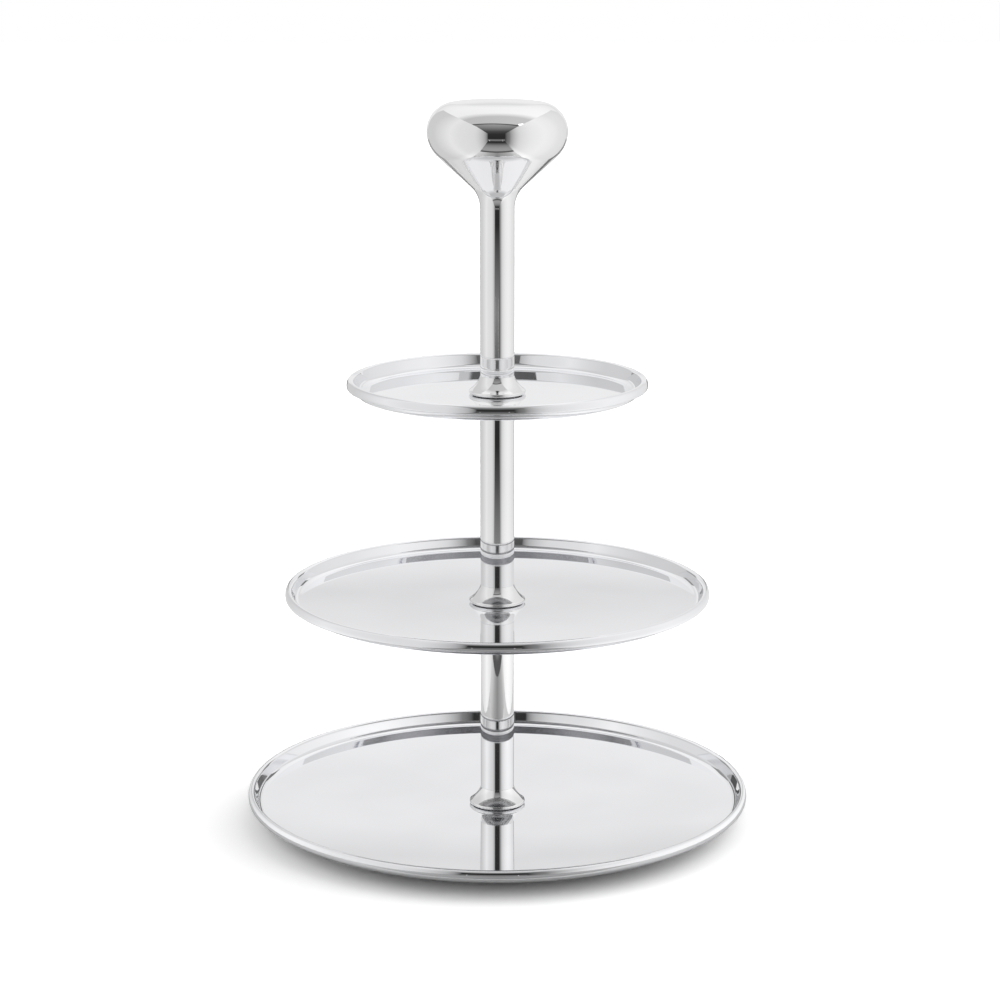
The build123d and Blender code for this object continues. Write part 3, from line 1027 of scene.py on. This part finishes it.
# The apron is greyest in the middle as painted shade: the bottom tray's shadow on the table, seen in the
# polish.
apron_painted_shade = glow_finish(
    "apron_painted_shade",
    ALONG_X,
    [(NEAR_LEFT, 0.86), (-0.126, 0.7), (-0.075, 0.5), (0, 0.34), (0.075, 0.48), (0.126, 0.6),
     (0.16, 0.8), (NEAR_RIGHT, 0.9)],
)
slit_glow = glow_finish("slit_glow", ALONG_Z, [(0, SLIT_LEVEL), (FLAT_HEIGHT, SLIT_LEVEL)])

near_left, far_left = (NEAR_LEFT, TABLE_EDGE), (FAR_LEFT, CORRIDOR_END)
near_right, far_right = (NEAR_RIGHT, TABLE_EDGE), (FAR_RIGHT, CORRIDOR_END)
card("left_flat", upright(near_left, far_left, 0, FLAT_HEIGHT), left_glow)
card("right_flat", upright(near_right, far_right, 0, FLAT_HEIGHT), right_glow)
card("left_wing", upright((NEAR_LEFT, FLAT_BACK), near_left, 0, FLAT_HEIGHT), left_glow)
card("right_wing", upright((NEAR_RIGHT, FLAT_BACK), near_right, 0, FLAT_HEIGHT), right_glow)
card("corridor_end", upright(far_left, far_right, 0, FLAT_HEIGHT), end_glow)
card("corridor_floor", lying(near_left, near_right, far_right, far_left), floor_glow)
apron_left, apron_right = (NEAR_LEFT, APRON_BACK), (NEAR_RIGHT, APRON_BACK)
card("apron", lying(apron_left, apron_right, near_right, near_left), apron_painted_shade)
for slit_name, slit_x in SLIT_PLACES.items():
    slit_sides = (slit_x, SLIT_Y), (slit_x + SLIT_WIDTH, SLIT_Y)
    card(slit_name, upright(*slit_sides, 0, SLIT_HEIGHT), slit_glow)

# %% [markdown]
# ## Flags and lamp
# Grey and dark flags behind the stand keep the ends of the trays and the edges of the knob's cone from
# melting into the white. They end below or beside the part of the tent that the tray floors show to the
# camera. One lamp, high on the right in front, puts the small bright spot on the knob.

# %% Stand the flags
LOW_FLAG, TALL_FLAG = 0.115, 0.27
LEFT_END, LEFT_CORNER = (-0.42, 0.51), (-0.20, 0.56)
RIGHT_CORNER, RIGHT_END = (0.20, 0.57), (0.30, 0.52)
BACK_DARK, BACK_GREY = 0.12, 0.2
RIGHT_FLAG_LEVEL = 0.25
LAMP_NEAR, LAMP_FAR = (0.61, -0.70), (0.82, -0.52)
LAMP_BOTTOM, LAMP_TOP = 1.01, 1.21
LAMP_LEVEL = 4.0

left_flag_glow = glow_finish(
    "left_flag_glow", ALONG_Z, [(0, 0.5), (0.085, 0.47), (0.11, 0.38), (TALL_FLAG, 0.36)]
)
back_flag_glow = glow_finish(
    "back_flag_glow",
    ALONG_X,
    [(LEFT_CORNER[0], BACK_DARK), (0.03, BACK_DARK), (0.06, BACK_GREY), (RIGHT_CORNER[0], BACK_GREY)],
)
right_flag_glow = glow_finish(
    "right_flag_glow", ALONG_Z, [(0, RIGHT_FLAG_LEVEL), (TALL_FLAG, RIGHT_FLAG_LEVEL)]
)
lamp_glow = glow_finish("lamp_glow", ALONG_Z, [(0, LAMP_LEVEL), (LAMP_TOP, LAMP_LEVEL)])

card("left_flag", upright(LEFT_END, LEFT_CORNER, 0, TALL_FLAG), left_flag_glow)
card("back_flag", upright(LEFT_CORNER, RIGHT_CORNER, 0, LOW_FLAG), back_flag_glow)
card("right_flag", upright(RIGHT_CORNER, RIGHT_END, 0, TALL_FLAG), right_flag_glow)
card("lamp", upright(LAMP_NEAR, LAMP_FAR, LAMP_BOTTOM, LAMP_TOP), lamp_glow)

# %% [markdown]
# ## Light that goes from steel to steel
# Floors, walls and undersides mirror one another. With the usual four mirror bounces such a path is cut
# short and leaves black spots, so longer paths are allowed.

# %% Finish
MIRROR_BOUNCES = 16
bpy.context.scene.cycles.max_bounces = MIRROR_BOUNCES
bpy.context.scene.cycles.glossy_bounces = MIRROR_BOUNCES
bpy.context.scene.view_settings.view_transform = "Standard"
